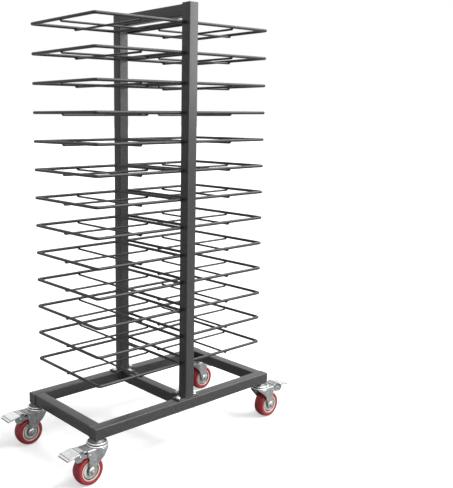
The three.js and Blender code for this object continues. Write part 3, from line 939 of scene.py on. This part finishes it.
def pedal_height(x, share):
    """Height of the pedal's top at a length and at a share of its half width."""
    fall = PEDAL_FALL / (PEDAL_TIP - PEDAL_BEND)
    reach = PEDAL_BEND_REACH
    past = x - PEDAL_BEND
    slope = 0 if past < -reach else past if past > reach else (past + reach) ** 2 / (4 * reach)
    z = PEDAL_TOP - fall * slope
    middle = max(0, 1 - max(0, abs(share) - RIDGE_END) / RIDGE_FADE)
    for ridge in RIDGES:
        near = abs(x - PEDAL_START - ridge) / RIDGE_HALF
        if near < 1:
            z += RIDGE_HEIGHT * math.cos(math.pi / 2 * near) ** 1.4 * middle
    groove = abs(x - PEDAL_TIP + GROOVE_BACK) / GROOVE_HALF
    if groove < 1:
        z -= GROOVE_DEPTH * math.cos(math.pi / 2 * groove) ** 1.5 * middle
    roll = max(0, x - PEDAL_TIP + TIP_ROLL) / TIP_ROLL
    z -= TIP_ROLL * (1 - math.sqrt(max(0, 1 - roll ** 2)))
    side_roll = max(0, abs(share) - (1 - SIDE_ROLL)) / SIDE_ROLL
    return z - SIDE_ROLL_DROP * (1 - math.sqrt(max(0, 1 - side_roll ** 2)))


def pedal_plate_and_shade(face):
    """Number of a pedal face's material: 0 bright plate, 1 dark steel as painted shade in the valleys between
    the ridges, at the tip and underneath, 2 dull plate on the neck before the first ridge and as painted
    shade in the groove and on the steep sides.
    """
    x, z = face.center.x, face.center.z
    among_ridges = x < PEDAL_START + RIDGES[-1] and z < PEDAL_TOP + 0.12 * RIDGE_HEIGHT
    past_first = x > PEDAL_START + RIDGES[0] - RIDGE_HALF
    in_groove = abs(x - PEDAL_TIP + GROOVE_BACK) < 0.6 * GROOVE_HALF
    on_side = abs(face.normal.y) > 0.35
    below = face.normal.z < -0.5
    if x > PEDAL_TIP - TIP_SHADE or below or (among_ridges and past_first):
        return 1
    return 2 if among_ridges or in_groove or on_side else 0


def pedal_mesh():
    """Stamped pedal plate with three ridges, a groove before its tip and rolled edges."""
    flat = 1 - SIDE_ROLL
    across = [-1 + SIDE_ROLL * (1 - math.cos(math.pi / 2 * k / 5)) for k in range(5)]
    across += [-flat + 2 * flat * k / 24 for k in range(25)]
    across += [-share for share in reversed(across[:5])]
    roll_start = PEDAL_TIP - TIP_ROLL
    lengths = [PEDAL_START + (roll_start - PEDAL_START) * k / 90 for k in range(91)]
    lengths += [roll_start + TIP_ROLL * math.sin(math.pi / 2 * k / 8) for k in range(1, 9)]
    rings = []
    for x in lengths:
        half = pedal_half(x)
        top = [Vector((x, half * share, pedal_height(x, share))) for share in across]
        under = [point - Vector((0, 0, PEDAL_SHEET)) for point in reversed(top)]
        rings.append(top + under)
    bm = bmesh.new()
    loft(bm, rings)
    # The plate is one stamped sheet: its valleys, tip, underside, groove and steep sides take darker
    # materials as painted shade.
    return painted(made_mesh("pedal_mesh", bm, 50), (BRIGHT, SHADE_STEEL, ZINC), pedal_plate_and_shade)


def skirt_mesh():
    """Skirts of the pedal, with lobes over the tread, the brake shoe between them and the pivot rivet."""
    pivot = pivot_place
    arm = 8 * MM
    sheet = 1.8 * MM
    soft = 0.35 * MM
    top = PEDAL_TOP - 1.6 * MM
    shoe = WHEEL_RADIUS + 8.2 * MM
    shoe_sheet = 3 * MM
    shoe_start = 64
    shoe_sweep = 18
    front = PEDAL_BEND + 11 * MM
    turns = [math.pi / 2 + math.pi * k / 10 for k in range(11)]
    back = [(pivot.x + arm * math.cos(t), pivot.z + arm * math.sin(t)) for t in turns]
    lower = curve([
        (pivot.x + 3 * MM, pivot.z - arm + 1 * MM), (PEDAL_START + 3 * MM, pivot.z - 5.5 * MM),
        (PEDAL_START + 12 * MM, pivot.z - 6 * MM), (PEDAL_START + 21 * MM, pivot.z - 8.5 * MM),
        (PEDAL_START + 28 * MM, pivot.z - 12.8 * MM), (PEDAL_START + 35 * MM, pivot.z - 12.8 * MM),
        (PEDAL_START + 41.5 * MM, pivot.z - 8 * MM), (front, pivot.z + 1.5 * MM),
        (front - 1 * MM, pivot.z + 10 * MM),
    ])
    upper = [(front - 3 * MM, top), (PEDAL_START - 3.2 * MM, top), (PEDAL_START - 3.4 * MM, pivot.z + arm)]
    outline = [*back, *lower, *upper]
    eye = circle(PEDAL_HOLE, PEDAL_HOLE_RADIUS)
    outer = SKIRT_OUTER
    bm = bmesh.new()
    for side in (-1, 1):
        low, high = sorted((side * outer, side * (outer - sheet)))
        plate(bm, [outline, eye], low, high, soft, lambda a, b, h: (a, h, b))
    rings = []
    inner = outer - 1.2 * MM
    for k in range(13):
        turn = math.radians(shoe_start - shoe_sweep * k / 12)
        out = Vector((math.cos(turn), 0, math.sin(turn)))
        low, high = axle_place + out * shoe, axle_place + out * (shoe + shoe_sheet)
        corners = (low, -inner), (low, inner), (high, inner), (high, -inner)
        rings.append([Vector((p.x, y, p.z)) for p, y in corners])
    loft(bm, rings)
    seat = LEG_OUTER + 0.1 * MM
    rivet = 3 * MM
    lathe(bm, [(rivet, -seat), (rivet, seat)], "y", pivot, 24)
    head = [(4.4, 0), (4.5, 0.5), (3.9, 1.3), (2.6, 1.8), (0.2, 2)]
    for side in (-1, 1):
        lathe(bm, profile(head, seat, side), "y", pivot, 32)
    return made_mesh("skirt_mesh", bm, 40)


def pin_mesh():
    """Rivets of the brake shoe on the outside of the skirts."""
    head = [(4, -1), (4, 0.5), (3.5, 1.2), (2.2, 1.7), (0.2, 1.8)]
    bm = bmesh.new()
    for side in (-1, 1):
        lathe(bm, profile(head, SKIRT_OUTER, side), "y", SHOE_RIVET, 28)
    return made_mesh("pin_mesh", bm, 40)


def hole_shade_mesh():
    """Near-black blind cups in the holes of the skirts, as painted shade in the holes."""
    radius = PEDAL_HOLE_RADIUS
    wall = 0.6 * MM
    middle = 0.2 * MM
    mouth = SKIRT_OUTER - 0.5 * MM
    end = mouth - 9 * MM
    cup = [(radius, mouth), (radius + wall, mouth), (radius + wall, end)]
    cup += [(middle, end), (middle, end + wall), (radius, end + wall)]
    centre = Vector((PEDAL_HOLE.x, 0, PEDAL_HOLE.y))
    bm = bmesh.new()
    for side in (-1, 1):
        lathe(bm, [(r, side * y) for r, y in cup], "y", centre, 20, closed=True)
    return made_mesh("hole_shade_mesh", bm, 40)


def casters():
    """Four casters from the same meshes, the left ones turned round."""
    parts = [
        ("race_dish", race_mesh(), None, "rack", "zinc_plate", "race"),
        # A dark ring fills the gap under each race as painted shade.
        ("race_gap_shade", gap_shade_mesh(), SHADE_STEEL, "rack", "zinc_plate", None),
        ("fork_sheet", fork_mesh(), ZINC, "swivel", "zinc_plate", "fork"),
        ("fork_cover", cover_mesh(), BRIGHT, "swivel", "bright_zinc", None),
        ("axle_set", axle_mesh(), None, "swivel", "bright_zinc", "axle_bolt"),
        ("core_moulding", core_mesh(), None, "wheel", "pale_core", "wheel_core"),
        ("hub_bearing", bearing_mesh(), ZINC, "wheel", "pale_core", None),
        ("tread_ring", tread_mesh(), RED, "wheel", "red_tread", "wheel_tread"),
        ("pedal_plate", pedal_mesh(), None, "pedal", "bright_zinc", "brake_pedal"),
        ("pedal_skirts", skirt_mesh(), ZINC, "pedal", "zinc_plate", None),
        ("pedal_rivets", pin_mesh(), STEEL, "pedal", "bright_zinc", None),
        # Near-black cups in the pedals' holes are painted shade.
        ("pedal_hole_shade", hole_shade_mesh(), HOLE_SHADE, "pedal", "zinc_plate", None),
    ]
    for corner in CORNERS:
        swivel = joint_place[f"caster_{corner}_swivel"]
        turn = math.pi if corner.endswith("left") else 0
        matrix = Matrix.Translation((swivel.x, swivel.y, 0)) @ Matrix.Rotation(turn, 4, "Z")
        for name, mesh, material, body, slot, node in parts:
            rides = body if body == "rack" else f"{body}_{corner}"
            stands_for = (f"caster_{corner}_{node}",) if node else ()
            piece(f"{corner}_{name}", mesh, material, rides, stands_for, matrix)


# Stage, light and camera

PHOTO_WIDTH = 453
PHOTO_HEIGHT = 488
SENSOR = 36
FOCAL_PIXELS = 716.54
AXIS_PIXEL = 144.75
CAMERA_PLACE = (-1.70445, -2.04041, 1.2137)
CAMERA_YAW = math.radians(39.211)
CAMERA_PITCH = math.radians(-10.125)

# Brightness of the floor and of the surroundings
FLOOR_HALF = 60
FLOOR_COLOUR = 0.75
FLOOR_GLOW = 0.46
FLOOR_MIRRORED = 0.42
FLOOR_BOUNCE = 0.15
AMBIENT = 0.52
HORIZON = 1.0
FAR_FLOOR = 0.6
OVERHEAD = 3.6
CEILING = 0.15
LEFT_SIDE = 0.9

# Where the surroundings change, as parts of a direction of length 1
CEILING_RANGE = (0.62, 0.92)
LEFT_RANGE = (-0.3, 0.3)
FAR_FLOOR_RANGE = (0.0, 0.14)
BAND_LOW_RANGE = (0.46, 0.64)
BAND_HIGH_RANGE = (0.76, 0.9)
BAND_BACK_RANGE = (0.2, 0.5)


def floor():
    """Pale floor that reads as white to the camera, keeps the rack's shadow and bounces little light."""
    bm = bmesh.new()
    bmesh.ops.create_grid(bm, x_segments=1, y_segments=1, size=FLOOR_HALF)
    obj = bpy.data.objects.new("floor", made_mesh("floor", bm))
    scene.collection.objects.link(obj)
    material = bpy.data.materials.new("floor")
    material.use_nodes = True
    tree = material.node_tree
    nodes, links = tree.nodes, tree.links
    nodes.clear()
    looks = []
    for tone in (FLOOR_BOUNCE, FLOOR_MIRRORED, FLOOR_COLOUR):
        plain = nodes.new("ShaderNodeBsdfDiffuse")
        plain.inputs["Color"].default_value = (*grey(tone), 1)
        looks.append(plain.outputs[0])
    bounced, reflected, seen = looks
    glow = nodes.new("ShaderNodeEmission")
    glow.inputs["Strength"].default_value = FLOOR_GLOW
    white = nodes.new("ShaderNodeAddShader")
    links.new(seen, white.inputs[0])
    links.new(glow.outputs[0], white.inputs[1])
    path = nodes.new("ShaderNodeLightPath")
    shown = bounced
    shares = mirrored(tree, path), path.outputs["Is Camera Ray"]
    for share, look in zip(shares, (reflected, white.outputs[0])):
        mix = nodes.new("ShaderNodeMixShader")
        links.new(share, mix.inputs["Fac"])
        links.new(shown, mix.inputs[1])
        links.new(look, mix.inputs[2])
        shown = mix.outputs[0]
    output = nodes.new("ShaderNodeOutputMaterial")
    links.new(shown, output.inputs["Surface"])
    obj.data.materials.append(material)


def mirrored(tree, path):
    """1 for reflected and transmitted rays, otherwise 0."""
    return joined(tree, "MAXIMUM", path.outputs["Is Glossy Ray"], path.outputs["Is Transmission Ray"])


def surroundings():
    """White behind the rack and a moderate light on it.

    In reflections they are greyer low down, overhead and at the left, with a bright band overhead that
    leaves out the back.
    """
    world = bpy.data.worlds.new("surroundings")
    scene.world = world
    world.use_nodes = True
    tree = world.node_tree
    nodes, links = tree.nodes, tree.links
    coordinates = nodes.new("ShaderNodeTexCoord")
    direction = nodes.new("ShaderNodeSeparateXYZ")
    links.new(coordinates.outputs["Generated"], direction.inputs[0])
    x, y, z = direction.outputs
    height = fade(tree, z, CEILING_RANGE, HORIZON, CEILING)
    side = fade(tree, x, LEFT_RANGE, LEFT_SIDE, 1.0)
    low = fade(tree, z, FAR_FLOOR_RANGE, FAR_FLOOR, 1.0)
    band_low = fade(tree, z, BAND_LOW_RANGE, 0.0, OVERHEAD)
    band_high = fade(tree, z, BAND_HIGH_RANGE, 1.0, 0.0)
    band_back = fade(tree, y, BAND_BACK_RANGE, 1.0, 0.0)
    plain = joined(tree, "MULTIPLY", height, side, low)
    band = joined(tree, "MULTIPLY", band_low, band_high, band_back)
    path = nodes.new("ShaderNodeLightPath")
    indirect = nodes.new("ShaderNodeMapRange")
    indirect.inputs["To Min"].default_value = AMBIENT
    links.new(joined(tree, "ADD", plain, band), indirect.inputs["To Max"])
    links.new(mirrored(tree, path), indirect.inputs["Value"])
    strength = nodes.new("ShaderNodeMapRange")
    links.new(indirect.outputs["Result"], strength.inputs["To Min"])
    links.new(path.outputs["Is Camera Ray"], strength.inputs["Value"])
    background = nodes["Background"]
    background.inputs["Color"].default_value = (1, 1, 1, 1)
    links.new(strength.outputs["Result"], background.inputs["Strength"])


def fade(tree, value, limits, first, last):
    """Smooth change from one level to another between two limits of a value."""
    node = tree.nodes.new("ShaderNodeMapRange")
    node.interpolation_type = "SMOOTHSTEP"
    for name, number in zip(("From Min", "From Max", "To Min", "To Max"), (*limits, first, last)):
        node.inputs[name].default_value = number
    tree.links.new(value, node.inputs["Value"])
    return node.outputs["Result"]


def joined(tree, operation, *values):
    """Values joined by an operation, one after another."""
    total = values[0]
    for value in values[1:]:
        node = tree.nodes.new("ShaderNodeMath")
        node.operation = operation
        tree.links.new(total, node.inputs[0])
        tree.links.new(value, node.inputs[1])
        total = node.outputs[0]
    return total


def lamp(name, kind, place, target, **values):
    """A light at a place, aimed at a target."""
    data = bpy.data.lights.new(name, kind)
    for key, value in values.items():
        setattr(data, key, value)
    obj = bpy.data.objects.new(name, data)
    scene.collection.objects.link(obj)
    obj.location = place
    obj.rotation_mode = "QUATERNION"
    obj.rotation_quaternion = (Vector(target) - Vector(place)).to_track_quat("-Z", "Y")


def lights():
    """A high key light from the right front, a large soft light beside it and a low fill from the front."""
    lamp("key", "SUN", (1.1, -1.3, 4.0), (0, 0, 0.4), energy=3.1, angle=math.radians(28))
    lamp("softbox", "AREA", (1.7, -2.0, 2.1), (0, -0.2, 1.35), energy=46, size=1.7)
    lamp("fill", "AREA", (0.4, -3.2, 1.0), (0, 0, 0.6), energy=24, size=1.5)


def camera():
    """Camera with a shifted lens, because the photo's axis lies left of its middle."""
    data = bpy.data.cameras.new("camera")
    data.sensor_width = SENSOR
    data.lens = FOCAL_PIXELS * SENSOR / PHOTO_HEIGHT
    data.shift_x = (PHOTO_WIDTH / 2 - AXIS_PIXEL) / PHOTO_HEIGHT
    data.clip_end = 200
    obj = bpy.data.objects.new("camera", data)
    scene.collection.objects.link(obj)
    yaw, pitch = CAMERA_YAW, CAMERA_PITCH
    forward = Vector((math.sin(yaw) * math.cos(pitch), math.cos(yaw) * math.cos(pitch), math.sin(pitch)))
    right = Vector((math.cos(yaw), -math.sin(yaw), 0))
    up = right.cross(forward)
    axes = Matrix((right, up, -forward)).transposed().to_4x4()
    obj.matrix_world = Matrix.Translation(CAMERA_PLACE) @ axes
    scene.camera = obj


base()
posts()
foot_bolts()
shelves()
casters()
floor()
surroundings()
lights()
camera()
scene.view_settings.view_transform = "Standard"

bpy.context.view_layer.update()
